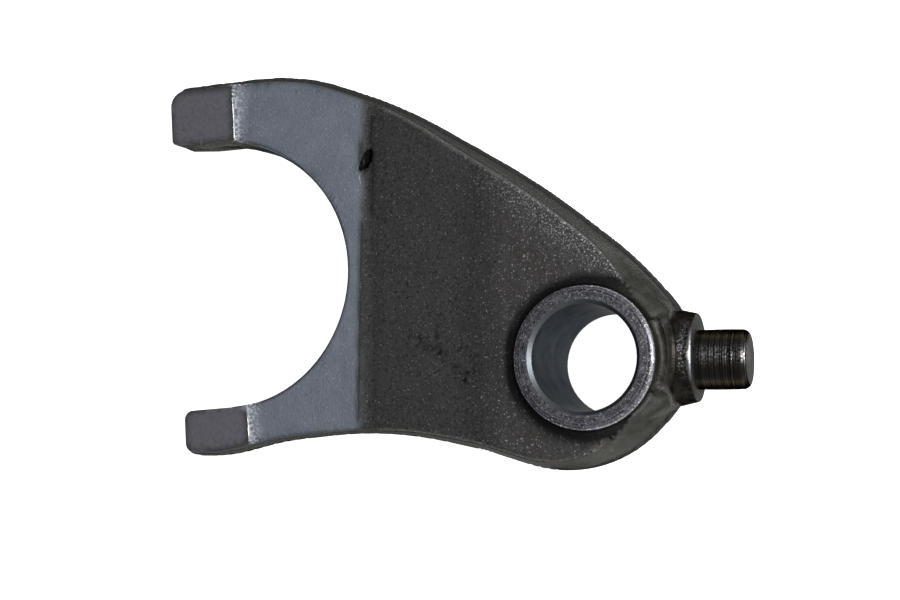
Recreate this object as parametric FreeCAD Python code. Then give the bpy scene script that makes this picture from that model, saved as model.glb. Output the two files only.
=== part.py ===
import FreeCAD, Part

import math
import os

# Shift fork for a motorcycle gearbox: one steel forging, machined where it meets its mates.
# Millimetres. The origin is where the guide pin's axis crosses the rod bore's.
# +Z runs up the bore, +X points out along the guide pin, and the jaw opens towards -X.

Vec = FreeCAD.Vector
UP = Vec(0, 0, 1)

# Hub that slides on the fork rod
hub_length = 18.8
bore_radius = 7.0
bore_chamfer = 0.5
boss_radius = 9.4
boss_edge_round = 0.6
boss_fillet = 1.2
boss_sink = 0.03
flank_wall = 3.4
flank_round = 12.0

# Jaw that runs in the sliding gear's groove: bored to its radius out of the forged gap
jaw_centre = (-54.4, 12.85)
jaw_radius = 18.75
jaw_tilt_deg = 4.1
gap_back_stock = 1.75
gap_upper_over = 0.4
gap_upper_round = 18.3
gap_lower_stock = 1.1
gap_lower_mouth = 0.3
gap_lower_run = 1.2
gap_lower_rounds = (1.8, 0.6)

# Claws, and the pads ground flat on both their sides
claw_reach = 8.2
upper_claw_width = 10.6
lower_claw_width = 6.35
upper_claw_flare = 1.5
upper_claw_waist = (3.6, 0.1, 12.0)
upper_claw_root = (-12.5, -0.85, 34.0)
upper_tip_drop = 0.3
lower_claw_heel = (1.85, 0.55, 26.0)
lower_claw_root = (-6.6, -1.05, 42.0)
claw_slack = 0.15
claw_corner = 1.6
upper_claw_corner = 2.3
pad_step = 2.35
pad_reach = 7.6
pad_rise = 0.4
pad_edge = 0.12
pad_corner = 1.3
step_corner = 0.4
upper_pad_margins = (0.2, 1.3, 1.85)
upper_pad_waist = (3.0, 0.2, 9.0)
upper_pad_flare = 0.75
lower_pad_margins = (0.075, 0.35, 0.9)
lower_pad_heel = (1.6, 0.1, 20.0)
lower_step_corner = 2.3
pad_ramp = 1.2
ramp_root = 0.1
ramp_inset = 1.0

# Forging: blade, rising web and drafted walls
blade_thickness = 5.0
web_rise = 4.6
bend_x = -32.5
bend_round = 12.0
hub_land_x = -13.3
hub_land_round = 20.0
draft_deg = 9.0
rim_round = 0.8
flash_land = 0.8
flash_ledge = 0.3
die_shift = 0.28
web_back_far = (-28.0, 36.2, 72.0)
web_back_near = (-8.2, 24.4, 105.0)
web_belly_far = (-30.0, -9.05, 57.0)
web_belly_near = (-16.0, -11.9, 20.0)
hub_back = (6.05, 0.3, 55.0)
hub_belly = (1.6, 0.95, 17.6)
flank_peak_y = 0.5

# Guide pin, and the drafted neck it is turned out of
pin_radius = 3.9
pin_length = 7.8
pin_chamfer = 0.5
neck_radius = 5.8
neck_draft_deg = 13.0
neck_edge_round = 0.35
neck_offset = 0.3
neck_root_x = 8.6
shoulder_x = 13.3

# Lap left in the forging's skin beside the bend
lap_place = (-33.0, 28.6)
lap_length = 3.8
lap_width = 1.8
lap_depth = 0.6
lap_turn_deg = 70.0
lap_runs = 4

parting_z = 0.0
hub_half = hub_length / 2
blade_half = blade_thickness / 2
pad_half = blade_half + pad_rise
land_half = blade_half + web_rise
drafted_height = land_half + rim_round
beyond = 100.0
shortest_run = 0.001
chords = 2


def jaw_point(along, across):
    """A point seen from the jaw's centre: along its opening, across it to the upper claw."""
    tilt = math.radians(jaw_tilt_deg)
    x = jaw_centre[0] - along * math.cos(tilt) - across * math.sin(tilt)
    y = jaw_centre[1] - along * math.sin(tilt) + across * math.cos(tilt)
    return x, y


def jaw_corner(along, across, radius):
    """An outline corner given from the jaw's centre, with its rounding."""
    return jaw_point(along, across) + (radius,)


def trimmed_outline():
    """The outline at the parting line, counter-clockwise: x, y and rounding of each corner."""
    gap_back = jaw_radius - gap_back_stock
    gap_upper = jaw_radius + gap_upper_over
    gap_lower = jaw_radius - gap_lower_stock
    upper_back = jaw_radius + upper_claw_width
    lower_back = jaw_radius + lower_claw_width
    lower_inner = jaw_radius + claw_slack
    flank = boss_radius + flank_wall
    waist_along, waist_rise, waist_round = upper_claw_waist
    root_along, root_rise, root_round = upper_claw_root
    heel_along, heel_swell, heel_round = lower_claw_heel
    belly_along, belly_swell, belly_round = lower_claw_root
    mouth_round, inner_round = gap_lower_rounds
    return fitted([
        (flank + flank_wall, flank_peak_y, flank_round),
        (hub_back[0], flank + hub_back[1], hub_back[2]),
        web_back_near,
        web_back_far,
        jaw_corner(root_along, upper_back + root_rise, root_round),
        jaw_corner(claw_reach, upper_back - upper_tip_drop, upper_claw_corner),
        jaw_corner(claw_reach, jaw_radius + upper_claw_flare, claw_corner),
        jaw_corner(waist_along, gap_upper + waist_rise, waist_round),
        jaw_corner(-gap_back, gap_upper, gap_upper_round),
        jaw_corner(-gap_back, -gap_lower, gap_back),
        jaw_corner(gap_lower_mouth, -gap_lower, mouth_round),
        jaw_corner(gap_lower_mouth + gap_lower_run, -lower_inner, inner_round),
        jaw_corner(claw_reach, -lower_inner, claw_corner),
        jaw_corner(claw_reach, -lower_back, claw_corner),
        jaw_corner(heel_along, -lower_back - heel_swell, heel_round),
        jaw_corner(belly_along, -lower_back - belly_swell, belly_round),
        web_belly_far,
        web_belly_near,
        (hub_belly[0], -flank - flank_wall - hub_belly[1], hub_belly[2]),
    ])


def fitted(corners):
    """Limit each rounding to the straight runs beside its corner."""
    count = len(corners)
    lengths = []
    wanted = []
    for i in range(count):
        here = Vec(corners[i][0], corners[i][1], 0)
        back = Vec(corners[i - 1][0], corners[i - 1][1], 0) - here
        ahead = Vec(corners[(i + 1) % count][0], corners[(i + 1) % count][1], 0) - here
        lengths.append(ahead.Length)
        wanted.append(corners[i][2] / math.tan(back.getAngle(ahead) / 2))
    result = []
    for i in range(count):
        before = lengths[i - 1] / (wanted[i - 1] + wanted[i])
        after = lengths[i] / (wanted[i] + wanted[(i + 1) % count])
        share = min(1.0, before, after)
        result.append((corners[i][0], corners[i][1], corners[i][2] * share))
    return result


def inset_corners(corners, inset):
    """The same outline with every side moved inwards."""
    count = len(corners)
    sides = []
    for i in range(count):
        start = Vec(corners[i][0], corners[i][1], 0)
        end = Vec(corners[(i + 1) % count][0], corners[(i + 1) % count][1], 0)
        run = (end - start).normalize()
        sides.append((start + Vec(-run.y, run.x, 0) * inset, run))
    moved = []
    for i in range(count):
        before, run_in = sides[i - 1]
        after, run_out = sides[i]
        turn = run_in.cross(run_out).z
        point = before + run_in * ((after - before).cross(run_out).z / turn)
        radius = corners[i][2] - math.copysign(inset, turn)
        moved.append((point.x, point.y, radius))
    return moved


def roundings(corners):
    """For each corner: where its arc starts, its middle, its end, its centre and its turn."""
    found = []
    count = len(corners)
    for i in range(count):
        here = Vec(corners[i][0], corners[i][1], 0)
        back = (Vec(corners[i - 1][0], corners[i - 1][1], 0) - here).normalize()
        ahead = (Vec(corners[(i + 1) % count][0], corners[(i + 1) % count][1], 0) - here).normalize()
        half_angle = back.getAngle(ahead) / 2
        radius = corners[i][2]
        tangent = radius / math.tan(half_angle)
        bisector = (back + ahead).normalize()
        centre = here + bisector * (radius / math.sin(half_angle))
        turn = math.copysign(180 - 2 * math.degrees(half_angle), ahead.cross(back).z)
        found.append((here + back * tangent, centre - bisector * radius, here + ahead * tangent, centre, turn))
    return found


def rounded_wire(corners, place):
    """Closed wire through the rounded corners; place puts each plane point in space."""
    arcs = roundings(corners)
    edges = []
    for i, (start, middle, end, centre, turn) in enumerate(arcs):
        following = arcs[(i + 1) % len(arcs)][0]
        if corners[i][2] > 0:
            edges.append(Part.Arc(place(start), place(middle), place(end)).toShape())
        if (following - end).Length > shortest_run:
            edges.append(Part.makeLine(place(end), place(following)))
    return Part.Wire(edges)


def chorded(corners):
    """Closed run of points in which each rounding is a few short chords, so it turns into cones."""
    points = []
    for (x, y, radius), (start, middle, end, centre, turn) in zip(corners, roundings(corners)):
        if radius == 0:
            points.append(Vec(x, y, 0))
            continue
        for k in range(chords + 1):
            points.append(centre + FreeCAD.Rotation(UP, turn * k / chords).multVec(start - centre))
    return points + points[:1]


def turned_solid(section, y):
    """Section of (x, height, rounding) turned about X at the parting line, y off the bore."""
    wire = Part.makePolygon([Vec(p.x, y, parting_z + p.y) for p in chorded(section)])
    return Part.Face(wire).revolve(Vec(0, y, parting_z), Vec(1, 0, 0), 360)


def plan_face(corners, z):
    return Part.Face(rounded_wire(corners, lambda p: Vec(p.x, p.y, z)))


def drafted_prism(corners, low, high):
    """Solid over an outline whose walls lean inwards by the draft, as planes and cones."""
    inset = (high - low) * math.tan(math.radians(draft_deg))
    narrow = inset_corners(corners, inset)
    foot = roundings(corners)
    head = roundings(narrow)
    faces = [plan_face(corners, low), plan_face(narrow, high)]
    for i, (start, middle, end, centre, turn) in enumerate(foot):
        leaning = Part.makeLine(start + UP * low, head[i][0] + UP * high)
        faces.append(leaning.revolve(centre, UP, turn))
        run = foot[(i + 1) % len(foot)][0] - end
        if run.Length > shortest_run:
            upright = Part.makeLine(end + UP * low, head[i][2] + UP * high)
            faces.append(upright.extrude(run))
    shell = Part.makeShell(faces)
    shell.sewShape()
    return Part.makeSolid(shell)


def under_the_face():
    """Everything below the forging's upper face: blade, bend, rising web and hub land."""
    blade = parting_z + blade_half
    land = parting_z + land_half
    section = [
        (-beyond, parting_z, 0),
        (beyond, parting_z, 0),
        (beyond, land, 0),
        (hub_land_x, land, hub_land_round),
        (bend_x, blade, bend_round),
        (-beyond, blade, 0),
    ]
    wire = rounded_wire(section, lambda p: Vec(p.x, -beyond, p.y))
    return Part.Face(wire).extrude(Vec(0, 2 * beyond, 0))


def rim_edges(half):
    """The edges where the drafted walls meet the upper face."""
    above = parting_z + flash_land
    found = []
    for edge in half.Edges:
        if edge.BoundBox.ZMin < above:
            continue
        middle = edge.valueAt((edge.FirstParameter + edge.LastParameter) / 2)
        slopes = []
        for face in half.ancestorsOfType(edge, Part.Face):
            u, v = face.Surface.parameter(middle)
            slopes.append(abs(face.normalAt(u, v).z))
        if min(slopes) < 0.5 < max(slopes):
            found.append(edge)
    return found


def forged_body():
    """Two mirrored drafted halves, on the land left where the flash was trimmed off."""
    outline = trimmed_outline()
    impression = [(x, y - die_shift, radius) for x, y, radius in inset_corners(outline, flash_ledge)]
    low = parting_z + flash_land / 2
    half = drafted_prism(impression, low, low + drafted_height).common(under_the_face())
    upper = half.makeFillet(rim_round, rim_edges(half))
    lower = upper.mirror(Vec(0, 0, parting_z), UP)
    land = plan_face(outline, low - flash_land).extrude(UP * flash_land)
    return land.fuse([upper, lower])


def pad_outlines():
    """The ground faces of the upper and the lower claw."""
    inner_margin, tip_margin, step_margin = upper_pad_margins
    inner = jaw_radius + gap_upper_over + inner_margin
    back = jaw_radius + upper_claw_width
    waist_along, waist_rise, waist_round = upper_pad_waist
    upper = [
        jaw_corner(-pad_step, inner, step_corner),
        jaw_corner(waist_along, inner + waist_rise, waist_round),
        jaw_corner(pad_reach, inner + upper_pad_flare, pad_corner / 2),
        jaw_corner(pad_reach, back - tip_margin, upper_claw_corner),
        jaw_corner(-pad_step, back - step_margin, step_corner),
    ]
    inner_margin, tip_margin, step_margin = lower_pad_margins
    inner = jaw_radius + inner_margin
    back = jaw_radius + lower_claw_width
    heel_along, heel_swell, heel_round = lower_pad_heel
    lower = [
        jaw_corner(-pad_step, -inner, lower_step_corner),
        jaw_corner(-pad_step, step_margin - back, pad_corner),
        jaw_corner(heel_along, tip_margin - back - heel_swell, heel_round),
        jaw_corner(pad_reach, tip_margin - back, pad_corner),
        jaw_corner(pad_reach, -inner, pad_corner),
    ]
    return [fitted(upper), fitted(lower)]


def claw_ramps():
    """Short ramps from the blade up to just under the ground faces."""
    under = pad_half - pad_edge
    foot = -pad_step - pad_ramp
    root = blade_half - ramp_root
    section = [
        (foot, -root),
        (-pad_step, -under),
        (0, -under),
        (0, under),
        (-pad_step, under),
        (foot, root),
    ]
    reach = jaw_radius + 2 * upper_claw_width
    points = []
    for along, height in section + section[:1]:
        x, y = jaw_point(along, -reach)
        points.append(Vec(x, y, parting_z + height))
    start = Vec(*jaw_point(0, -reach), 0)
    end = Vec(*jaw_point(0, reach), 0)
    band = Part.Face(Part.makePolygon(points)).extrude(end - start)
    outline = inset_corners(trimmed_outline(), ramp_inset)
    return plan_face(outline, parting_z - pad_half).extrude(UP * 2 * pad_half).common(band)


def claw_pads():
    """Raised pads at both claw ends, one solid each."""
    pads = []
    for outline in pad_outlines():
        pads.append(plan_face(outline, parting_z - pad_half).extrude(UP * 2 * pad_half))
    return pads


def hub_boss():
    """Round boss that stands above the land on both sides, with a rounding at its foot."""
    foot = boss_radius + boss_fillet
    low_land = parting_z - land_half + boss_sink
    high_land = parting_z + land_half - boss_sink
    section = [
        (0, -hub_half, 0),
        (boss_radius, -hub_half, boss_edge_round),
        (boss_radius, low_land, boss_fillet),
        (foot, low_land, 0),
        (foot, high_land, 0),
        (boss_radius, high_land, boss_fillet),
        (boss_radius, hub_half, boss_edge_round),
        (0, hub_half, 0),
    ]
    wire = Part.makePolygon([Vec(p.x, 0, p.y) for p in chorded(section)])
    return Part.Face(wire).revolve(Vec(0, 0, 0), UP, 360)


def guide_pin():
    """The pin, turned true to the bore, and the neck, a little off it as forged."""
    tip_x = shoulder_x + pin_length
    flare = (shoulder_x - neck_root_x) * math.tan(math.radians(neck_draft_deg))
    neck_section = [
        (neck_root_x, 0, 0),
        (neck_root_x, neck_radius + flare, 0),
        (shoulder_x, neck_radius, neck_edge_round),
        (shoulder_x, 0, 0),
    ]
    pin_section = [
        (neck_root_x, 0, 0),
        (neck_root_x, pin_radius, 0),
        (tip_x - pin_chamfer, pin_radius, 0),
        (tip_x, pin_radius - pin_chamfer, 0),
        (tip_x, 0, 0),
    ]
    return [turned_solid(neck_section, neck_offset), turned_solid(pin_section, 0)]


def rod_bore():
    """The bore right through the hub, with a chamfer at both ends."""
    mouth = bore_radius + bore_chamfer
    drill = Part.makeCylinder(bore_radius, hub_length, UP * -hub_half)
    lower = Part.makeCone(mouth, bore_radius, bore_chamfer, UP * -hub_half)
    upper = Part.makeCone(bore_radius, mouth, bore_chamfer, UP * (hub_half - bore_chamfer))
    return drill.fuse([lower, upper])


def jaw_bore():
    """The arc bored between the claws, square to the blade."""
    return Part.makeCylinder(jaw_radius, hub_length, Vec(*jaw_centre, -hub_half))


def lap_hollow():
    """The lap beside the bend, as a spindle-shaped hollow in the blade's upper face."""
    points = [Vec(-lap_length / 2, 0, 0)]
    for k in range(1, lap_runs):
        share = 2 * k / lap_runs - 1
        points.append(Vec(share * lap_length / 2, 0, lap_width / 2 * math.cos(share * math.pi / 2)))
    points.append(Vec(lap_length / 2, 0, 0))
    spindle = Part.Face(Part.makePolygon(points + points[:1])).revolve(Vec(0, 0, 0), Vec(1, 0, 0), 360)
    spindle.rotate(Vec(0, 0, 0), UP, lap_turn_deg)
    spindle.translate(Vec(*lap_place, parting_z + blade_half + lap_width / 2 - lap_depth))
    return spindle


def shift_fork():
    blank = forged_body().fuse([claw_ramps(), hub_boss()] + guide_pin() + claw_pads())
    return blank.cut([rod_bore(), jaw_bore(), lap_hollow()]).removeSplitter()


os.makedirs("parts", exist_ok=True)
fork = shift_fork()
box = fork.BoundBox
print("solids", len(fork.Solids), "valid", fork.isValid(), "volume", round(fork.Volume, 1))
print("box", [round(v, 2) for v in (box.XMin, box.XMax, box.YMin, box.YMax, box.ZMin, box.ZMax)])
fork.exportStep("parts/shift_fork.step")
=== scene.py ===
import math

import bpy
import numpy as np
from mathutils import Matrix, kdtree, noise


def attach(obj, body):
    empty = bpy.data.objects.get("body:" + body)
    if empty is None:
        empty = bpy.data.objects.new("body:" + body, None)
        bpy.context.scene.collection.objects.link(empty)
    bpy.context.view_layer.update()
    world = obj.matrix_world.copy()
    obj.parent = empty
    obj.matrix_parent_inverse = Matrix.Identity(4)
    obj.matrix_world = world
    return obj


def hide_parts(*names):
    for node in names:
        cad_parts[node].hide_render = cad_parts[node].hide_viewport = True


# Looks of a forged shift fork: blasted web, smooth blade, ground claw pads, faced hub ring,
# honed bore, bored jaw and turned guide pin. Metres, in the CAD's frame: the origin is where the
# pin's axis crosses the bore's, +X runs along the pin and the jaw opens towards -X.

MM = 0.001

# Camera, at the photograph's viewing angle
camera_place = (56.32 * MM, -13.28 * MM, 220.6 * MM)
camera_turn_deg = (5.39, 19.4, 0.3)
camera_lens = 68.0

# Light table and key light
floor_half = 1.2
key_place = (0.45, 0.08, 0.32)
key_size = (0.2, 0.2)
key_power = 4.0

# The fork's own sizes, as in its CAD
hub_half = 9.4 * MM
boss_radius = 9.4 * MM
boss_edge_round = 0.6 * MM
boss_fillet = 1.2 * MM
boss_sink = 0.03 * MM
bore_radius = 7.0 * MM
bore_chamfer = 0.5 * MM
land_half = 7.1 * MM
neck_offset = 0.3 * MM
neck_radius = 5.8 * MM
neck_draft_deg = 13.0
shoulder_x = 13.3 * MM
pin_radius = 3.9 * MM
pin_chamfer = 0.5 * MM
pin_end_x = 21.1 * MM
flash_ledge = 0.3 * MM
jaw_centre = (-54.4 * MM, 12.85 * MM)
jaw_radius = 18.75 * MM
jaw_tilt_deg = 4.1
pad_step = 2.35 * MM
pad_half = 2.9 * MM
blade_half = 2.5 * MM
flash_half = 0.4 * MM
bend_x = -32.5 * MM

# Forms that the dressed fork adds to the CAD's: the pin as short as in the photograph, its end
# rounded, and the hub's wall slanting from its foot to the ring round the pin's side. The wall
# has its full width between the near angles and the CAD's own from the far ones on.
pin_cut = 1.1 * MM
hub_wall_width = 3.4 * MM
hub_wall_least = 1.2 * MM
hub_wall_upper_deg = (45.0, 125.0)
hub_wall_lower_deg = (35.0, 112.0)
hub_wall_crest = 0.35 * MM
neck_blend = 2.4 * MM
neck_blend_from_edge = 1.5 * MM
neck_root_x = 11.8 * MM
neck_root_slope = 0.22

# The hub's outline is looked up between these angles, within a reach that leaves out the claws
outline_from_deg = -130.0
outline_to_deg = 140.0
outline_step_deg = 1.5
outline_reach = 42 * MM

# Where the forging's skin is marked, in mm: the lap's place and half sizes, and the scale pits'
# places and half sizes in x and y, with the field that they all lie in
lap_place = (-33.0, 28.6)
lap_turn_deg = 63.0
lap_half = (1.9, 0.72)
lap_field = 2.6
pit_field_place = (-20.5, 0.6)
pit_field_half = (6.5, 4.0)
scale_pits = [
    (-25.9, 3.6, 0.35, 0.2),
    (-24.2, 3.0, 0.35, 0.5),
    (-21.5, 3.6, 0.3, 0.6),
    (-22.3, 1.9, 1.1, 0.35),
    (-20.8, 1.1, 0.8, 0.5),
    (-17.7, 1.6, 0.8, 0.3),
    (-18.5, -0.9, 0.4, 0.4),
    (-15.8, 0.6, 0.6, 0.25),
    (-16.6, -1.5, 1.3, 0.4),
    (-17.0, -2.6, 0.6, 0.35),
]

# How deep the marks go, and where the sheared flash ends and the pads begin
bite_depth = 0.15 * MM
swell_depth = 0.035 * MM
pebble_depth = 0.014 * MM
pit_depth = 0.09 * MM
lap_ragged_depth = 0.16 * MM
lap_sunk_depth = 0.08 * MM
flash_marks_end_x = 9.0 * MM
pads_begin_x = -50.0 * MM

# Painted shade round the boss's foot and past the bend, dark marks at the lap, the pits and the jaw's edge,
# and dark brown painted shade by the neck: how dark, 0 to 1, and where
corner_shade_width = 1.55 * MM
corner_shade_dark = 0.88
corner_shade_lighter_by_neck = 0.2
bend_shade_dark = 0.1
lap_halo_dark = 0.3
jaw_rim_dark = 0.8
pits_dark = 0.85
saddle_shade_begins_x = 8.6 * MM
saddle_half = 3.2 * MM
saddle_spread = 4.4 * MM
saddle_spread_x = 10.3 * MM

# Painted highlights: the glint on each pad's step, which curls at the claw's outer corner, the
# sheen on the band beside it, the highlight along the neck's top and the glints on the web's back edge
edge_glint_half = 0.17 * MM
edge_glint_curl = 0.5 * MM
edge_glint_curl_begins = 24.6 * MM
ramp_sheen_width = 2.1 * MM
highlights_begin_x = 11.5 * MM
back_place = (-10.0 * MM, 22.0 * MM)
back_slope = 0.72
back_glint_half = 1.9 * MM
rim_width = 0.5 * MM

# Mesh of the dressed fork: the angles that are smoothed and the longest edges in each area
smooth_angle_deg = 35.0
upright_smooth_angle_deg = 50.0
open_edge = 1.6 * MM
flash_edge = 0.45 * MM
round_edge = 0.42 * MM
slant_edge = 0.52 * MM
lap_edge = 0.2 * MM
step_edge = 0.35 * MM
jaw_edge = 0.7 * MM
greatest_bulge = 0.15 * MM
most_halvings = 12

# A point this near to a face of the CAD's lies on it, and one farther off than clear doesn't
touch = 0.02 * MM
clear = 0.1 * MM

# The finishes, in the order of the mesh's materials
SKIN, PAD, RING, BORE, PIN, JAW = range(6)

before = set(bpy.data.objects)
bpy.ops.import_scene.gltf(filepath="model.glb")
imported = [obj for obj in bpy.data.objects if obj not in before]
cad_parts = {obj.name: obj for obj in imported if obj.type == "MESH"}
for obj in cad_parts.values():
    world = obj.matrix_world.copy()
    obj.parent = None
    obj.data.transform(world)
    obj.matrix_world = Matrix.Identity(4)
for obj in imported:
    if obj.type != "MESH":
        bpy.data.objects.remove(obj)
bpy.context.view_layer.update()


def linear(code):
    """An sRGB hex colour as linear RGBA."""
    values = []
    for k in (0, 2, 4):
        c = int(code[k:k + 2], 16) / 255
        values.append(c / 12.92 if c <= 0.04045 else ((c + 0.055) / 1.055) ** 2.4)
    return (*values, 1.0)


# The dressed fork: the CAD skin, refined and marked

def welded_skin(source):
    """The node's points, welded, and its triangles."""
    mesh = source.data
    mesh.calc_loop_triangles()
    points = np.empty(len(mesh.vertices) * 3)
    mesh.vertices.foreach_get("co", points)
    triangles = np.empty(len(mesh.loop_triangles) * 3, int)
    mesh.loop_triangles.foreach_get("vertices", triangles)
    keys = np.round(points.reshape(-1, 3) / (0.001 * MM)).astype(int)
    _, first, inverse = np.unique(keys, axis=0, return_index=True, return_inverse=True)
    triangles = inverse.reshape(-1)[triangles].reshape(-1, 3)
    a, b, c = triangles.T
    sound = (a != b) & (b != c) & (c != a)
    return points.reshape(-1, 3)[first], triangles[sound]


def unit(vectors):
    lengths = np.linalg.norm(vectors, axis=-1, keepdims=True)
    return vectors / np.maximum(lengths, 1e-20)


def face_crosses(points, triangles):
    """For each triangle, its normal times twice its area."""
    a, b, c = (points[triangles[:, k]] for k in range(3))
    return np.cross(b - a, c - a)


def corner_normals(points, triangles):
    """A normal for each triangle's corner, smooth across edges that bend little, or between
    upright faces across the coarser chords of the outline's corners."""
    crosses = face_crosses(points, triangles)
    normals = unit(crosses)
    corners = triangles.reshape(-1)
    order = np.argsort(corners, kind="stable")
    counts = np.bincount(corners, minlength=len(points))
    starts = np.cumsum(counts) - counts
    own = normals[np.arange(len(corners)) // 3]
    limit = math.cos(math.radians(smooth_angle_deg))
    upright_limit = math.cos(math.radians(upright_smooth_angle_deg))
    upright = np.abs(normals[:, 2]) < 0.3
    found = np.zeros((len(corners), 3))
    for k in range(int(counts.max())):
        has = np.flatnonzero(counts[corners] > k)
        face = order[starts[corners[has]] + k] // 3
        both_upright = upright[face] & upright[has // 3]
        near = (normals[face] * own[has]).sum(1) > np.where(both_upright, upright_limit, limit)
        found[has] += crosses[face] * near[:, None]
    return unit(found).reshape(-1, 3, 3)


def point_normals(points, triangles):
    crosses = face_crosses(points, triangles)
    total = np.zeros_like(points)
    for k in range(3):
        np.add.at(total, triangles[:, k], crosses)
    return unit(total)


def bulges(points, triangles, corners, index, count):
    """For each edge, how far the curved surface stands off its middle, from its corner normals.
    Where two faces meet at a crease each gives its own part, and where they are smooth the same."""
    total = np.zeros((count, 3))
    sides = np.zeros(count)
    meeting = np.zeros((count, 3))
    for k in range(3):
        start, end = points[triangles[:, k]], points[triangles[:, (k + 1) % 3]]
        first, second = corners[:, k], corners[:, (k + 1) % 3]
        run = end - start
        tilt_first = (run * first).sum(axis=1, keepdims=True)
        tilt_second = (run * second).sum(axis=1, keepdims=True)
        np.add.at(total, index[:, k], (tilt_second * second - tilt_first * first) / 8)
        np.add.at(sides, index[:, k], 1)
        np.add.at(meeting, index[:, k], first)
    smooth = np.linalg.norm(meeting, axis=1) > 0.97 * sides
    total[smooth] /= np.maximum(sides[smooth], 1)[:, None]
    length = np.linalg.norm(total, axis=1, keepdims=True)
    return total * np.minimum(1, greatest_bulge / np.maximum(length, 1e-12))


def refine(points, triangles, corners):
    """Halve every edge that is longer than wanted there, until none is."""
    for _ in range(most_halvings):
        ends = np.sort(triangles[:, [0, 1, 1, 2, 2, 0]].reshape(-1, 2), axis=1)
        codes, index = np.unique(ends[:, 0] * len(points) + ends[:, 1], return_inverse=True)
        edges = np.stack([codes // len(points), codes % len(points)], axis=1)
        index = index.reshape(-1, 3)
        middles = points[edges].mean(axis=1)
        lengths = np.linalg.norm(points[edges[:, 0]] - points[edges[:, 1]], axis=1)
        long = lengths > wanted_edge(middles)
        if not long.any():
            break
        new_point = np.full(len(edges), -1)
        new_point[long] = len(points) + np.arange(int(long.sum()))
        middles += bulges(points, triangles, corners, index, len(edges))
        points = np.concatenate([points, middles[long]])
        triangles, corners = divided(triangles, corners, new_point[index])
    return points, triangles, corners


def divided(triangles, corners, cuts):
    """Divide triangles at the new points on their edges; a cut of -1 leaves its edge whole."""
    whole = (cuts < 0).all(axis=1)
    out_triangles = [triangles[whole]]
    out_corners = [corners[whole]]
    triangles, corners, cuts = triangles[~whole], corners[~whole], cuts[~whole]
    count = (cuts >= 0).sum(axis=1)
    # One cut: it comes first. Two cuts: the whole edge comes first.
    first = np.where(count == 1, np.argmax(cuts >= 0, axis=1), np.argmin(cuts, axis=1))
    pick = (first[:, None] + np.arange(3)) % 3
    triangles = np.take_along_axis(triangles, pick, 1)
    cuts = np.take_along_axis(cuts, pick, 1)
    corners = np.take_along_axis(corners, pick[:, :, None], 1)
    nodes = np.concatenate([triangles, cuts], axis=1)
    normals = np.concatenate([corners, unit(corners + np.roll(corners, -1, axis=1))], axis=1)
    patterns = {
        1: [(0, 3, 2), (3, 1, 2)],
        2: [(0, 1, 4), (0, 4, 5), (5, 4, 2)],
        3: [(0, 3, 5), (3, 1, 4), (5, 4, 2), (3, 4, 5)],
    }
    for number, pieces in patterns.items():
        chosen = count == number
        for piece in pieces:
            out_triangles.append(nodes[chosen][:, piece])
            out_corners.append(normals[chosen][:, piece])
    return np.concatenate(out_triangles), np.concatenate(out_corners)


def jaw_distance(points):
    return np.hypot(points[:, 0] - jaw_centre[0], points[:, 1] - jaw_centre[1])


def jaw_along(points):
    """How far towards the jaw's mouth each point lies, from the jaw's centre."""
    tilt = math.radians(jaw_tilt_deg)
    x = points[:, 0] - jaw_centre[0]
    y = points[:, 1] - jaw_centre[1]
    return -x * math.cos(tilt) - y * math.sin(tilt)


def from_place(points, place):
    """Distance in mm, seen from above, from a place given in mm."""
    return np.hypot(points[:, 0] / MM - place[0], points[:, 1] / MM - place[1])


def in_pit_field(points):
    """Whether each point of the upper face lies in the field of the scale pits."""
    aside_x = np.abs(points[:, 0] / MM - pit_field_place[0])
    aside_y = np.abs(points[:, 1] / MM - pit_field_place[1])
    return (aside_x < pit_field_half[0]) & (aside_y < pit_field_half[1]) & (points[:, 2] > 0)


def wanted_edge(places):
    """The longest edge that the mesh may have at each place."""
    x, y, z = places.T
    height = np.abs(z)
    across_bore = np.hypot(x, y)
    from_jaw = jaw_distance(places)
    wanted = np.full(len(places), open_edge)
    # The sheared flash, clear of the jaw and the boss
    on_flash = (height < flash_half + 0.05 * MM) & (from_jaw > jaw_radius + 0.05 * MM)
    wanted[on_flash & (across_bore > boss_radius + 2 * MM)] = flash_edge
    # The boss's roundings, the pin's end and the slanted wall of the hub
    round_boss = (height > land_half - 0.2 * MM) & (across_bore > boss_radius - 0.8 * MM)
    wanted[round_boss & (across_bore < boss_radius + boss_fillet)] = round_edge
    wanted[(x > pin_end_x - 1.2 * MM) & (np.hypot(y, z) > pin_radius - 1.2 * MM)] = round_edge
    wanted[(x > 3 * MM) & (across_bore > boss_radius) & (x < shoulder_x)] = slant_edge
    # The pads' steps and the jaw's edges
    by_step = (np.abs(jaw_along(places) + pad_step) < 0.45 * MM) & (height > blade_half - clear)
    wanted[by_step & (x < bend_x)] = step_edge
    by_jaw = np.abs(from_jaw - jaw_radius) < 0.6 * MM
    wanted[by_jaw] = np.minimum(wanted[by_jaw], jaw_edge)
    # The lap and the scale pits
    wanted[(from_place(places, lap_place) < lap_field) & (z > 0)] = lap_edge
    pitted = in_pit_field(places)
    wanted[pitted] = np.minimum(wanted[pitted], round_edge)
    return wanted


def in_lap(points):
    """Distance from the lap's middle as a share of its oval's edge, and across it to the left."""
    turn = math.radians(lap_turn_deg)
    x = points[:, 0] / MM - lap_place[0]
    y = points[:, 1] / MM - lap_place[1]
    along = x * math.cos(turn) + y * math.sin(turn)
    aside = -x * math.sin(turn) + y * math.cos(turn)
    return np.hypot(along / lap_half[0], aside / lap_half[1]), aside


def in_pits(points):
    """How deep each point of the upper face lies in the scale pits, 0 to 1."""
    most = np.zeros(len(points))
    for px, py, half_x, half_y in scale_pits:
        share = np.hypot((points[:, 0] / MM - px) / half_x, (points[:, 1] / MM - py) / half_y)
        most = np.maximum(most, np.exp(-0.6 * share ** 2))
    return most * (points[:, 2] > 0)


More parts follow.
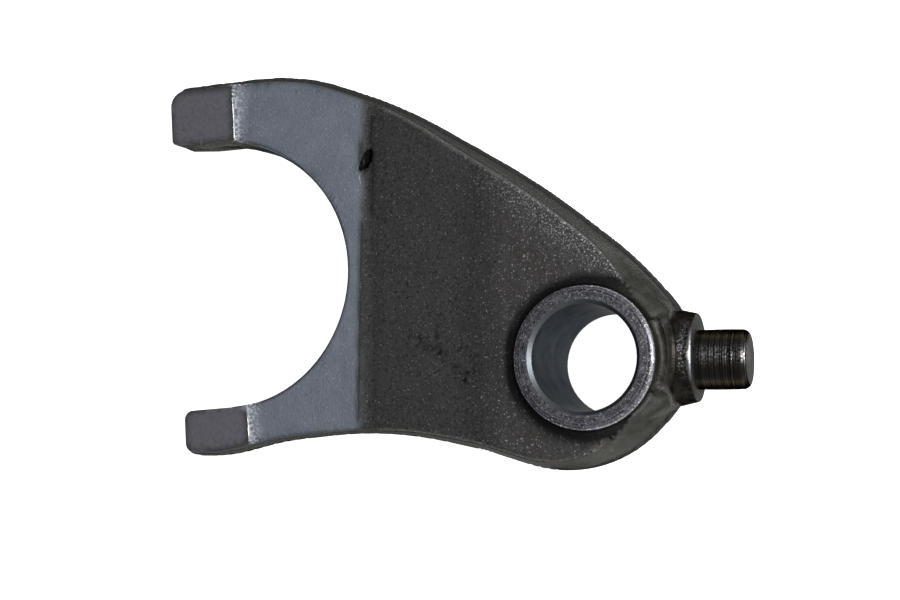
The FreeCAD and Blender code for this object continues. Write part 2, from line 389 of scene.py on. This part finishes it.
def rough(points, size, seed):
    """Smooth random values from about -1 to 1 that change over a distance of about size."""
    shifted = points / size + seed * 7.31
    return np.array([noise.noise(p) for p in shifted.tolist()])


def turned_round(points, triangles, corners, radius, height, rounding, hollow):
    """Put a rounding of the boss, hollow or not, on its true arc, with its true normals, above
    and below."""
    sign = -1 if hollow else 1
    centre_r = radius - sign * rounding
    centre_z = height - sign * rounding
    across = np.hypot(points[:, 0], points[:, 1])
    out = (across - centre_r) * sign
    up = (np.abs(points[:, 2]) - centre_z) * sign
    length = np.hypot(out, up)
    inside = (out > -touch) & (up > -touch) & (length > 0.85 * rounding) & (length < 1.03 * rounding)
    all_in = inside[triangles].all(axis=1)
    chosen = np.unique(triangles[all_in])
    stretch = sign * rounding / length[chosen]
    outward = points[chosen, :2] / across[chosen, None]
    side = np.sign(points[chosen, 2])
    points[chosen, :2] = outward * (centre_r + out[chosen] * stretch)[:, None]
    points[chosen, 2] = side * (centre_z + up[chosen] * stretch)
    normals = np.zeros_like(points)
    normals[chosen, :2] = outward * (out[chosen] / length[chosen])[:, None]
    normals[chosen, 2] = side * up[chosen] / length[chosen]
    corners[all_in] = normals[triangles[all_in]]


def shortened_pin(points):
    """The pin drawn in to its length in the photograph; what stands before it stays."""
    share = (points[:, 0] - shoulder_x) / (pin_end_x - pin_chamfer - shoulder_x)
    points[:, 0] -= pin_cut * np.clip(share, 0, 1)


def rounded_pin_end(points, triangles, corners):
    """The pin's chamfer turned into the arc through its middle, with its true normals."""
    rounding = pin_chamfer / (2 - math.sqrt(2))
    centre_x = pin_end_x - pin_cut - rounding
    centre_r = pin_radius - rounding
    across = np.hypot(points[:, 1], points[:, 2])
    out = across - centre_r
    along = points[:, 0] - centre_x
    length = np.hypot(out, along)
    inside = (out > 0) & (along > 0) & (length > 0.8 * rounding)
    chosen = np.flatnonzero(inside)
    stretch = rounding / length[chosen]
    outward = points[chosen, 1:] / across[chosen, None]
    points[chosen, 1:] = outward * (centre_r + out[chosen] * stretch)[:, None]
    points[chosen, 0] = centre_x + along[chosen] * stretch
    normals = np.zeros_like(points)
    normals[chosen, 1:] = outward * (out[chosen] / length[chosen])[:, None]
    normals[chosen, 0] = along[chosen] / length[chosen]
    held = inside[triangles]
    corners[held] = normals[triangles[held]]


def eased(values):
    values = np.clip(values, 0, 1)
    return values * values * (3 - 2 * values)


def softer(first, second, blend, sign):
    """The greater (sign 1) or lesser (sign -1) of two heights, with a blend where they meet."""
    return (first + second + sign * np.sqrt((first - second) ** 2 + blend ** 2)) / 2


def hub_edge(points, angles):
    """How far the hub's outline lies from the bore's axis at each angle."""
    across = np.hypot(points[:, 0], points[:, 1])
    on_edge = (np.abs(points[:, 2]) < flash_half + touch) & (across > boss_radius + 1 * MM)
    on_edge &= (points[:, 0] < shoulder_x - 0.3 * MM) & (across < outline_reach)
    edge_angles = np.arctan2(points[on_edge, 1], points[on_edge, 0])
    end_deg = outline_to_deg + outline_step_deg
    steps = np.radians(np.arange(outline_from_deg, end_deg, outline_step_deg))
    reach = np.zeros(len(steps) - 1)
    step_of = np.clip(np.searchsorted(steps, edge_angles) - 1, 0, len(reach) - 1)
    np.maximum.at(reach, step_of, across[on_edge])
    middles = (steps[1:] + steps[:-1]) / 2
    return np.interp(angles, middles[reach > 0], reach[reach > 0])


def slanted_hub(points, triangles, corners):
    """The hub's wall round the pin's side, slanting from its foot to the ring, with the neck
    growing out of it; the land and the boss's foot are cut away by it."""
    x, y, z = points.T
    across = np.hypot(x, y)
    angles = np.arctan2(y, x)
    spans = np.where(y[:, None] > 0, hub_wall_upper_deg, hub_wall_lower_deg)
    share = eased((spans[:, 1] - np.degrees(np.abs(angles))) / (spans[:, 1] - spans[:, 0]))
    width = hub_wall_least + (hub_wall_width - hub_wall_least) * share
    edge = hub_edge(points, angles)
    climb = (land_half - flash_half) / (width - flash_ledge)
    wall = flash_half + np.maximum(edge - flash_ledge - across, 0) * climb
    reach = neck_radius + (shoulder_x - x) * math.tan(math.radians(neck_draft_deg))
    reach += np.maximum(neck_root_x - x, 0) * neck_root_slope
    aside = np.abs(y - neck_offset) / reach
    neck = reach * np.sqrt(np.maximum(1 - aside ** 2, 0))
    # The blend is fullest at the neck's sides and fades out beyond them and at the hub's edge
    near_neck = np.clip(aside, 0.25, 1) ** 2 * eased((1.9 - aside) / 0.9)
    near_neck *= eased((edge - across) / neck_blend_from_edge)
    wall = softer(wall, neck, neck_blend * near_neck, 1)
    height = softer(np.abs(z), wall, hub_wall_crest * share, -1)
    height = np.minimum(height, np.abs(z))
    cut = (share > 0) & (np.abs(z) > flash_half + touch) & (across > boss_radius + touch)
    cut &= (across < edge + clear) & (x < shoulder_x - 0.6 * MM)
    height = np.maximum(height, flash_half)
    moved = cut & (np.abs(z) - height > 0.1 * touch)
    points[moved, 2] = (np.sign(z) * height)[moved]
    touched = moved[triangles].any(axis=1)
    near = np.isin(triangles, np.unique(triangles[touched])).any(axis=1)
    corners[touched] = corner_normals(points, triangles[near])[touched[near]]


def marked(points, normals, low, high):
    """The points with the forging's marks, kept inside the box of the CAD's skin: sheared flash,
    uneven skin, scale pits and the ragged lap."""
    x, y, z = points.T
    height = np.abs(z)
    from_jaw = jaw_distance(points)
    upright = np.abs(normals[:, 2]) < 0.75
    above = (z > 0) & ~upright

    # Flash sheared off in short bites, the same from top to bottom
    flash = (height < flash_half + touch) & (from_jaw > jaw_radius + 0.3 * MM)
    flash &= (x < flash_marks_end_x) & upright
    plan = points * (1, 1, 0)
    bites = 0.5 + 0.5 * rough(plan, 0.42 * MM, 1) + 0.45 * rough(plan, 1.9 * MM, 2)
    depth = np.where(flash, np.clip(bites, 0, 1.2) * bite_depth, 0)

    # Uneven forged skin, clear of what is machined
    machined = (np.hypot(x, y) < boss_radius + 0.2 * MM) | (x > shoulder_x - 0.7 * MM)
    machined |= from_jaw < jaw_radius + 0.05 * MM
    machined |= (height > pad_half - 0.15 * MM) & (x < pads_begin_x)
    swell = rough(points, 3.2 * MM, 3) * swell_depth
    pebbles = rough(points, 1.1 * MM, 4) * pebble_depth
    depth += np.where(machined | flash, 0, swell + pebbles)

    # Shallow scale pits in the upper face
    ragged = np.clip(0.6 + 0.9 * rough(points, 0.5 * MM, 7), 0, 1.4)
    depth += np.where(above, in_pits(points) * ragged * pit_depth, 0)

    # Sunk and ragged walls round the lap
    share, _ = in_lap(points)
    near_lap = np.clip(1.5 - share, 0, 1)
    lap_depth = lap_ragged_depth * rough(points, 0.5 * MM, 5) + lap_sunk_depth
    depth += np.where(z > 0, near_lap * lap_depth, 0)

    moved = points - normals * depth[:, None]
    return np.clip(moved, low, high)


def finish_of(points, triangles):
    """Which finish each triangle has, by where it lies and how it faces."""
    normals = unit(face_crosses(points, triangles))
    middle = points[triangles].mean(axis=1)
    x, y, z = middle.T
    height = np.abs(z)
    flatness = np.abs(normals[:, 2])
    across_bore = np.hypot(x, y)
    on_pad = (height > pad_half - touch) & (flatness > 0.98)
    on_pad &= (jaw_along(middle) > -pad_step - clear) & (x < bend_x)
    on_ring = (across_bore < boss_radius + 0.5 * touch) & (height > hub_half - boss_edge_round - touch)
    on_pin = (x > shoulder_x - touch) & (np.hypot(y, z) < pin_radius + 0.05 * MM)
    pin_face = (x > pin_end_x - pin_cut - 0.05 * MM) & (normals[:, 0] > 0.95)
    on_jaw = (np.abs(jaw_distance(middle) - jaw_radius) < touch) & (flatness < 0.05)
    finish = np.full(len(triangles), SKIN)
    finish[on_pad] = PAD
    finish[on_ring] = RING
    finish[across_bore < bore_radius + bore_chamfer + 0.5 * touch] = BORE
    finish[on_pin] = PIN
    finish[pin_face] = SKIN
    finish[on_jaw] = JAW
    return finish


def shade_and_dark_marks_of(points, wander):
    """Painted shade in the corner round the boss and just past the bend, and dark marks in and beside
    the lap, in the pits and at the edge of the bored jaw."""
    x, y, z = points.T
    height = np.abs(z)
    beyond = np.hypot(x, y) - boss_radius - corner_shade_width
    # Painted shade in the corner round the boss's foot
    corner = 1 - np.clip((beyond + 0.5 * wander) / (0.7 * MM), 0, 1)
    corner *= (height > land_half - 0.3 * MM) * (height < hub_half - boss_edge_round)
    corner *= corner_shade_dark - corner_shade_lighter_by_neck * eased((x - 8.0 * MM) / MM)
    # Painted shade in a band just past the bend
    past_bend = np.clip(1 - np.abs(x - bend_x - 0.9 * MM) / (2.2 * MM), 0, 1) * bend_shade_dark
    share, aside = in_lap(points)
    ragged = rough(points, 0.7 * MM, 11) * 0.35
    lap = np.clip((1.12 + ragged - share) / 0.22, 0, 1) * (z > 0)
    left_of_lap = np.clip(aside / 0.5 + 0.8, 0, 1)
    halo = np.clip(1.9 - share + ragged, 0, 1) * left_of_lap * lap_halo_dark * (z > 0)
    jaw_rim = np.clip(1 - (jaw_distance(points) - jaw_radius) / (0.5 * MM), 0, 1)
    jaw_rim *= height < pad_half - 0.15 * MM
    patchy = np.clip(0.55 + 1.3 * rough(points, 0.7 * MM, 12), 0, 1)
    pits = in_pits(points) * patchy * pits_dark
    return np.maximum.reduce([corner, past_bend, lap, halo, jaw_rim * jaw_rim_dark, pits])


def saddle_shade_of(points, wander):
    """Painted shade, dark brown, on the neck and on the saddle between it and the ring."""
    x, y, z = points.T
    by_neck = eased((x - saddle_shade_begins_x + 0.3 * wander) / (1.2 * MM))
    by_neck *= 1 - eased((x - shoulder_x + 0.2 * MM) / (0.18 * MM))
    half = saddle_half + np.clip((x - saddle_spread_x) / (1.2 * MM), 0, 1) * saddle_spread
    saddle_shade = by_neck * (1 - eased((np.abs(y - neck_offset) - half + wander) / (1.6 * MM)))
    saddle_shade *= (np.abs(z) > flash_half + clear) * (np.hypot(x, y) > boss_radius + 0.05 * MM)
    return saddle_shade


def edge_glints(points):
    """Painted glints on the step of each pad and on the neck's edge."""
    x, y, z = points.T
    curl = eased((np.abs(y - jaw_centre[1]) - edge_glint_curl_begins) / (2.0 * MM)) * edge_glint_curl
    line = jaw_along(points) + pad_step - curl - rough(points, 2.0 * MM, 13) * 0.12 * MM
    edge_glint = np.clip(1 - np.abs(line) / edge_glint_half, 0, 1) * (np.abs(z) > blade_half - clear)
    neck_line = np.clip(1 - np.abs(x - shoulder_x + 0.2 * MM) / (0.16 * MM), 0, 1)
    edge_glint += neck_line * (z > 0) * np.clip(1 - np.abs(y - 0.4 * MM) / (3.6 * MM), 0, 1)
    return np.clip(edge_glint, 0, 1)


def sheen_by_pads(points):
    """Painted sheen on the band beside the step of each pad, where its ramp faces the light."""
    along = jaw_along(points)
    left = rough(points, 1.6 * MM, 14) * 0.9 * MM
    ramp_sheen = np.clip((along + pad_step + ramp_sheen_width + left) / (0.7 * MM), 0, 1)
    return ramp_sheen * (along < -pad_step) * (np.abs(points[:, 2]) > blade_half - 0.2 * MM)


def highlights_on_top(points, wander):
    """Painted highlights along the top of the neck and of the pin."""
    x, y, z = points.T
    neck = eased((x - highlights_begin_x + 0.5 * wander) / (0.5 * MM)) * (x < shoulder_x - 0.3 * MM)
    neck *= np.clip(1.2 - np.abs(y - 1.0 * MM) / (3.4 * MM), 0, 1) * (z > 0)
    on_pin = (x > shoulder_x + 0.3 * MM) * (z > 0)
    return np.maximum(neck, on_pin * np.exp(-((y - 0.5 * MM) / (1.0 * MM)) ** 2))


def glints_on_back(points):
    """Painted glints along the web's back edge, crowding towards the hub."""
    x, y, _ = points.T
    from_line = (y - back_place[1]) + (x - back_place[0]) * back_slope
    towards_hub = np.clip((x + 22 * MM) / (18 * MM), 0, 1)
    return np.exp(-((from_line + 0.3 * MM) / back_glint_half) ** 2) * towards_hub


def zones(points, normals):
    """Where each look of the forged skin lies, 0 to 1 at each point."""
    x = points[:, 0]
    by_flash = np.abs(points[:, 2]) < flash_half + clear
    flatness = np.abs(normals[:, 2])
    wander = rough(points, 2.5 * MM, 6) * 0.5 * MM
    wall = np.clip((0.9 - flatness) / 0.35, 0, 1)
    wall[by_flash & (jaw_distance(points) > jaw_radius + clear)] = 1
    steep = np.clip((0.36 - flatness) / 0.14, 0, 1)
    steep[by_flash] = 1
    return {
        "blade": np.clip((bend_x - 0.6 * MM - x + wander) / (1.3 * MM), 0, 1),
        "wall": wall,
        "steep": steep,
        "shade_and_dark_marks": shade_and_dark_marks_of(points, wander),
        "saddle_shade": saddle_shade_of(points, wander),
        "edge_glint": edge_glints(points),
        "ramp_sheen": sheen_by_pads(points),
        "top_highlight": highlights_on_top(points, wander),
        "back_glints": glints_on_back(points) * (flatness > 0.8),
        # Painted shade on the hub's flat land, which faces up
        "land": eased((x + 20.0 * MM) / (8 * MM)) * (flatness > 0.9),
        "rim": near_rim(points, flatness),
    }


def near_rim(points, flatness):
    """Nearness to the outer edge, 0 to 1, on the faces of the blade and the pads."""
    height = np.abs(points[:, 2])
    from_jaw = jaw_distance(points)
    thin = (height > flash_half + clear) & (points[:, 0] < bend_x + 2 * MM)
    thin &= from_jaw > jaw_radius + 0.05 * MM
    edge = thin & (flatness < 0.6)
    faces = thin & ~edge & (from_jaw > jaw_radius + 0.5 * MM)
    tree = kdtree.KDTree(int(edge.sum()))
    for k, (x, y, _) in enumerate(points[edge].tolist()):
        tree.insert((x, y, 0), k)
    tree.balance()
    distance = np.full(len(points), 1.0)
    distance[faces] = [tree.find((x, y, 0))[2] for x, y, _ in points[faces].tolist()]
    return np.exp(-(distance / rim_width) ** 2)


def put(name, data):
    """A new object with this data, in the scene."""
    thing = bpy.data.objects.new(name, data)
    bpy.context.scene.collection.objects.link(thing)
    return thing


def dressed_fork(source, materials):
    """The fork that is seen in place of its CAD node."""
    points, triangles = welded_skin(source)
    low, high = points.min(axis=0), points.max(axis=0)
    corners = corner_normals(points, triangles)
    points, triangles, corners = refine(points, triangles, corners)
    turned_round(points, triangles, corners, boss_radius, hub_half, boss_edge_round, False)
    turned_round(points, triangles, corners, boss_radius, land_half - boss_sink, boss_fillet, True)
    shortened_pin(points)
    rounded_pin_end(points, triangles, corners)
    slanted_hub(points, triangles, corners)
    before = point_normals(points, triangles)
    finish = finish_of(points, triangles)
    masks = zones(points, before)
    points = marked(points, before, low, high)
    after = point_normals(points, triangles)
    corners = unit(corners + (after - before)[triangles])
    mesh = bpy.data.meshes.new("forging")
    mesh.vertices.add(len(points))
    mesh.vertices.foreach_set("co", points.reshape(-1))
    mesh.loops.add(triangles.size)
    mesh.loops.foreach_set("vertex_index", triangles.reshape(-1))
    mesh.polygons.add(len(triangles))
    mesh.polygons.foreach_set("loop_start", np.arange(0, triangles.size, 3))
    mesh.polygons.foreach_set("use_smooth", np.ones(len(triangles), bool))
    for material in materials:
        mesh.materials.append(material)
    mesh.polygons.foreach_set("material_index", finish)
    mesh.update(calc_edges=True)
    mesh.normals_split_custom_set(corners.reshape(-1, 3))
    for name, values in masks.items():
        mesh.attributes.new(name, "FLOAT", "POINT").data.foreach_set("value", values.astype(float))
    return put("forging", mesh)


# Materials

def add(tree, kind, settings=None, links=None):
    """Add a node of a kind, set its inputs or properties, and link sockets into its inputs."""
    node = tree.nodes.new(kind)
    for name, value in (settings or {}).items():
        if isinstance(name, int) or name in node.inputs:
            node.inputs[name].default_value = value
        else:
            setattr(node, name, value)
    for name, socket in (links or {}).items():
        tree.links.new(socket, node.inputs[name])
    return node


def new_steel(name, roughness, glance):
    """Steel under a thin dark film, which dulls its sheen at a glancing angle to glance."""
    material = bpy.data.materials.new(name)
    material.use_nodes = True
    tree = material.node_tree
    shader = tree.nodes["Principled BSDF"]
    shader.inputs["Metallic"].default_value = 1.0
    shader.inputs["Roughness"].default_value = roughness
    shader.inputs["Specular Tint"].default_value = (glance, glance, glance, 1.0)
    return material, tree, shader


def mixed(tree, share, first, second):
    """Colour between two colours or colour sockets."""
    node = add(tree, "ShaderNodeMix", {"data_type": "RGBA"})
    for slot, value in ((0, share), (6, first), (7, second)):
        if isinstance(value, (tuple, float)):
            node.inputs[slot].default_value = value
        else:
            tree.links.new(value, node.inputs[slot])
    return node.outputs[2]


def grain(tree, size, low, high, detail=2.0, seed=0.0):
    """Noise with grains of a real size, stretched so that it runs 0 to 1 from low to high."""
    place = add(tree, "ShaderNodeTexCoord").outputs["Object"]
    shift = add(tree, "ShaderNodeVectorMath", {"operation": "ADD", 1: (seed, seed, seed)}, {0: place})
    settings = {"Scale": 1 / size, "Detail": detail}
    cloud = add(tree, "ShaderNodeTexNoise", settings, {"Vector": shift.outputs[0]})
    span = add(tree, "ShaderNodeMapRange", {"From Min": low, "From Max": high}, {"Value": cloud.outputs[0]})
    return span.outputs[0]


def product(tree, first, second):
    """A socket times another, or times a number."""
    node = add(tree, "ShaderNodeMath", {"operation": "MULTIPLY"}, {0: first})
    if isinstance(second, float):
        node.inputs[1].default_value = second
    else:
        tree.links.new(second, node.inputs[1])
    return node.outputs[0]


def surface(tree, shader, colour, height, strength, depth):
    """Give the shader its colour, and a bump of a real depth from a height of 0 to 1."""
    tree.links.new(colour, shader.inputs["Base Color"])
    bump = add(tree, "ShaderNodeBump", {"Strength": strength, "Distance": depth}, {"Height": height})
    tree.links.new(bump.outputs[0], shader.inputs["Normal"])
    return bump


def forged_skin():
    """Drop-forged and shot-blasted steel: a dark brown-grey scale skin that the shot has opened to
    fine bright dents on the web, partly painted glints, rolled smoother and bluer on the blade,
    olive on the drafted walls; painted shade near black round the boss and past the bend, and
    painted highlights on the pads' steps and ramps, the neck's top and the web's back edge."""
    material, tree, shader = new_steel("blasted_forging_skin", 0.42, 0.15)
    mask = {}
    names = ("blade", "wall", "steep", "shade_and_dark_marks", "saddle_shade", "edge_glint", "ramp_sheen", "top_highlight", "back_glints", "land", "rim")
    for name in names:
        mask[name] = add(tree, "ShaderNodeAttribute", {"attribute_name": name}).outputs["Fac"]

    # Web: bright 0.25 mm specks, partly bare steel on the shot dents and partly painted glints,
    # crowded into painted glints on the back edge, over patches of scale 0.5, 1 and 4 mm across,
    # with painted shade on the hub's flat land
    web = mixed(tree, grain(tree, 4.0 * MM, 0.35, 0.65), linear("76706A"), linear("7D7A79"))
    web = mixed(tree, grain(tree, 1.1 * MM, 0.35, 0.65, seed=3.0), web, linear("7C7976"))
    web = mixed(tree, grain(tree, 0.45 * MM, 0.5, 0.75, seed=12.0), web, linear("55524E"))
    # Painted shade on the hub's flat land
    web = mixed(tree, product(tree, mask["land"], 0.5), web, linear("4A4744"))
    # Bright specks: partly bare steel on the shot's dents, partly painted glints
    web = mixed(tree, grain(tree, 0.24 * MM, 0.63, 0.72), web, linear("D8D7D6"))
    # Painted glints crowded on the web's back edge
    crowded = grain(tree, 0.26 * MM, 0.54, 0.66, seed=5.0)
    web = mixed(tree, product(tree, crowded, mask["back_glints"]), web, linear("E4E4E8"))

    # Blade: smooth, with faint dark marks 0.6 mm across and a few bright specks of 0.3 mm
    blade = mixed(tree, grain(tree, 3.0 * MM, 0.3, 0.7, seed=1.0), linear("A2A9B2"), linear("AEB5BE"))
    blade = mixed(tree, grain(tree, 0.55 * MM, 0.56, 0.78, seed=2.0), blade, linear("949BA3"))
    blade = mixed(tree, grain(tree, 0.3 * MM, 0.68, 0.8, detail=0.0, seed=4.0), blade, linear("C4CAD2"))
    skin = mixed(tree, mask["blade"], web, blade)

    # Drafted walls and the rims beside them: olive, paler where they are steep; then dark brown painted
    # shade by the neck, and painted shade round the boss and past the bend with dark marks at the lap, pits
    # and jaw
    wall = mixed(tree, grain(tree, 1.2 * MM, 0.35, 0.65, seed=6.0), linear("3A3A37"), linear("444441"))
    wall = mixed(tree, mask["steep"], wall, linear("5F5F5C"))
    skin = mixed(tree, mask["wall"], skin, wall)
    skin = mixed(tree, product(tree, mask["rim"], 0.75), skin, linear("45463A"))
    # Painted shade, dark brown, on the neck and the saddle beside it
    saddle_shade_colour = mixed(tree, grain(tree, 0.9 * MM, 0.35, 0.65, seed=7.0), linear("1E1C19"), linear("2D2A25"))
    skin = mixed(tree, mask["saddle_shade"], skin, saddle_shade_colour)
    # Painted shade round the boss and past the bend, and dark marks at the lap, pits and jaw
    skin = mixed(tree, mask["shade_and_dark_marks"], skin, linear("1C1C1A"))

    # Painted highlights: sheen beside the pads' steps, flecks along the neck's top, and glints on the pads'
    # steps and the neck's edge
    # Painted sheen on the band beside each pad's step
    flecks = grain(tree, 0.35 * MM, 0.42, 0.62, detail=3.0, seed=8.0)
    skin = mixed(tree, product(tree, flecks, mask["ramp_sheen"]), skin, linear("E2E5E8"))
    # Painted highlight: flecks along the neck's top
    highlight_flecks = grain(tree, 0.25 * MM, 0.5, 0.62, seed=10.0)
    skin = mixed(tree, product(tree, highlight_flecks, mask["top_highlight"]), skin, linear("8C8A8C"))
    # Painted glints on the pads' steps and the neck's edge
    skin = mixed(tree, mask["edge_glint"], skin, linear("F2F2F2"))
    surface(tree, shader, skin, grain(tree, 0.3 * MM, 0.2, 0.8, seed=9.0), 0.5, 0.05 * MM)
    return material


def ground_pad():
    """Steel ground flat: an even dark grey with a faint violet cast and a fine matt grain."""
    material, tree, shader = new_steel("ground_steel", 0.5, 0.4)
    colour = mixed(tree, grain(tree, 0.5 * MM, 0.35, 0.65), linear("89888D"), linear("949398"))
    colour = mixed(tree, grain(tree, 1.0 * MM, 0.62, 0.75, seed=2.0), colour, linear("7A797C"))
    rim = add(tree, "ShaderNodeAttribute", {"attribute_name": "rim"}).outputs["Fac"]
    colour = mixed(tree, product(tree, rim, 0.8), colour, linear("4C4D41"))
    surface(tree, shader, colour, grain(tree, 0.3 * MM, 0.0, 1.0), 0.25, 0.03 * MM)
    return material


def turned_marks(tree, distance, pitch):
    """Tool marks that run round the axis: noise over the distance alone, one mark a pitch."""
    turns = add(tree, "ShaderNodeMath", {"operation": "MULTIPLY", 1: 1 / pitch}, {0: distance}).outputs[0]
    cloud = add(tree, "ShaderNodeTexNoise", {"noise_dimensions": "1D", "Scale": 1.0}, {"W": turns})
    return cloud.outputs[0]


def faced_ring():
    """Steel faced on a lathe and knocked about since: concentric marks 0.2 mm apart that glint
    where the light crosses them, broken up by small dents, with bright flecks 0.22 mm across painted in as
    glints."""
    material, tree, shader = new_steel("faced_steel", 0.38, 0.4)
    place = add(tree, "ShaderNodeTexCoord").outputs["Object"]
    plan = add(tree, "ShaderNodeVectorMath", {"operation": "MULTIPLY", 1: (1, 1, 0)}, {0: place})
    radius = add(tree, "ShaderNodeVectorMath", {"operation": "LENGTH"}, {0: plan.outputs[0]})
    rings = turned_marks(tree, radius.outputs["Value"], 0.2 * MM)
    limits = {"From Min": 0.4, "From Max": 0.62}
    lines = add(tree, "ShaderNodeMapRange", limits, {"Value": rings}).outputs[0]
    colour = mixed(tree, lines, linear("4E4D4F"), linear("7E7D82"))
    colour = mixed(tree, grain(tree, 0.9 * MM, 0.45, 0.7, detail=3.0, seed=2.0), colour, linear("8C8B90"))
    # Painted glints: near-white flecks 0.22 mm across
    colour = mixed(tree, grain(tree, 0.22 * MM, 0.6, 0.7), colour, linear("E8E8EC"))
    colour = mixed(tree, grain(tree, 0.3 * MM, 0.55, 0.7, detail=3.0, seed=3.0), colour, linear("333234"))
    dents = surface(tree, shader, colour, grain(tree, 0.22 * MM, 0.0, 1.0), 0.5, 0.03 * MM)
    grooves = add(tree, "ShaderNodeBump", {"Strength": 0.6, "Distance": 0.04 * MM}, {"Height": rings})
    tree.links.new(grooves.outputs[0], dents.inputs["Normal"])
    return material


def honed_bore():
    """Honed steel under a film of oil: smooth, dark and slightly blue."""
    material, tree, shader = new_steel("honed_steel", 0.4, 0.2)
    colour = mixed(tree, grain(tree, 2.0 * MM, 0.3, 0.7), linear("5E6266"), linear("6A6E72"))
    tree.links.new(colour, shader.inputs["Base Color"])
    return material


def turned_pin():
    """Steel turned on a lathe: fine rings 0.25 mm apart round the pin, browned by old oil, with a painted
    highlight on the rings along its top.
    """
    material, tree, shader = new_steel("turned_steel", 0.28, 0.05)
    place = add(tree, "ShaderNodeTexCoord").outputs["Object"]
    along = add(tree, "ShaderNodeSeparateXYZ", {}, {0: place}).outputs[0]
    rings = turned_marks(tree, along, 0.25 * MM)
    limits = {"From Min": 0.38, "From Max": 0.62}
    lines = add(tree, "ShaderNodeMapRange", limits, {"Value": rings}).outputs[0]
    colour = mixed(tree, lines, linear("211E1A"), linear("37342F"))
    # Painted highlight along the pin's top, on its rings
    top_highlight = add(tree, "ShaderNodeAttribute", {"attribute_name": "top_highlight"}).outputs["Fac"]
    highlight_flecks = product(tree, grain(tree, 0.3 * MM, 0.4, 0.65, detail=3.0), product(tree, lines, top_highlight))
    colour = mixed(tree, highlight_flecks, colour, linear("B8B7B8"))
    surface(tree, shader, colour, rings, 0.9, 0.09 * MM)
    return material


def bored_jaw():
    """The jaw's arc as bored: dark, with tool marks along the arc 0.25 mm apart."""
    material, tree, shader = new_steel("bored_steel", 0.4, 0.1)
    place = add(tree, "ShaderNodeTexCoord").outputs["Object"]
    height = add(tree, "ShaderNodeSeparateXYZ", {}, {0: place}).outputs[2]
    rings = turned_marks(tree, height, 0.25 * MM)
    colour = mixed(tree, rings, linear("2E2D2A"), linear("4A4945"))
    surface(tree, shader, colour, rings, 0.4, 0.03 * MM)
    return material


# Stage

def camera():
    data = bpy.data.cameras.new("camera")
    data.lens = camera_lens
    data.clip_start = 5 * MM
    eye = put("camera", data)
    tilt, swing, roll = (math.radians(a) for a in camera_turn_deg)
    turn = Matrix.Rotation(swing, 4, "Y") @ Matrix.Rotation(tilt, 4, "X") @ Matrix.Rotation(roll, 4, "Z")
    eye.matrix_world = Matrix.Translation(camera_place) @ turn
    bpy.context.scene.camera = eye


def floor():
    """White acrylic sheet, lit from below as on a photographer's light table."""
    corners = [(x * floor_half, y * floor_half, -hub_half) for x, y in ((-1, -1), (1, -1), (1, 1), (-1, 1))]
    mesh = bpy.data.meshes.new("floor")
    mesh.from_pydata(corners, [], [(0, 1, 2, 3)])
    material = bpy.data.materials.new("white_acrylic")
    material.use_nodes = True
    shader = material.node_tree.nodes["Principled BSDF"]
    shader.inputs["Base Color"].default_value = linear("F0F0F0")
    shader.inputs["Roughness"].default_value = 0.8
    shader.inputs["Emission Color"].default_value = (1, 1, 1, 1)
    shader.inputs["Emission Strength"].default_value = 1.0
    mesh.materials.append(material)
    ground = put("floor", mesh)


def soft_box(name, place, size, power):
    """A rectangular lamp turned towards the origin; its sizes are in metres, its power in watts."""
    data = bpy.data.lights.new(name, "AREA")
    data.shape = "RECTANGLE"
    data.size, data.size_y = size
    data.energy = power
    lamp = put(name, data)
    lamp.location = place
    lamp.rotation_euler = (-lamp.location).to_track_quat("-Z", "Y").to_euler()


def light():
    """A soft box at the right, in a room that grows dim towards the left."""
    world = bpy.data.worlds.new("studio")
    world.use_nodes = True
    tree = world.node_tree
    place = add(tree, "ShaderNodeTexCoord").outputs["Generated"]
    across = add(tree, "ShaderNodeSeparateXYZ", {}, {0: place}).outputs[0]
    limits = {"From Min": -0.85, "From Max": 0.2}
    ramp = add(tree, "ShaderNodeMapRange", limits, {"Value": across}).outputs[0]
    colour = mixed(tree, ramp, linear("484A50"), linear("C4C6CC"))
    tree.links.new(colour, tree.nodes["Background"].inputs["Color"])
    bpy.context.scene.world = world
    soft_box("key", key_place, key_size, key_power)


bpy.context.scene.view_settings.view_transform = "Standard"
finishes = [forged_skin(), ground_pad(), faced_ring(), honed_bore(), turned_pin(), bored_jaw()]
fork = dressed_fork(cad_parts["shift_fork"], finishes)
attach(fork, "root")
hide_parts("shift_fork")
camera()
floor()
light()
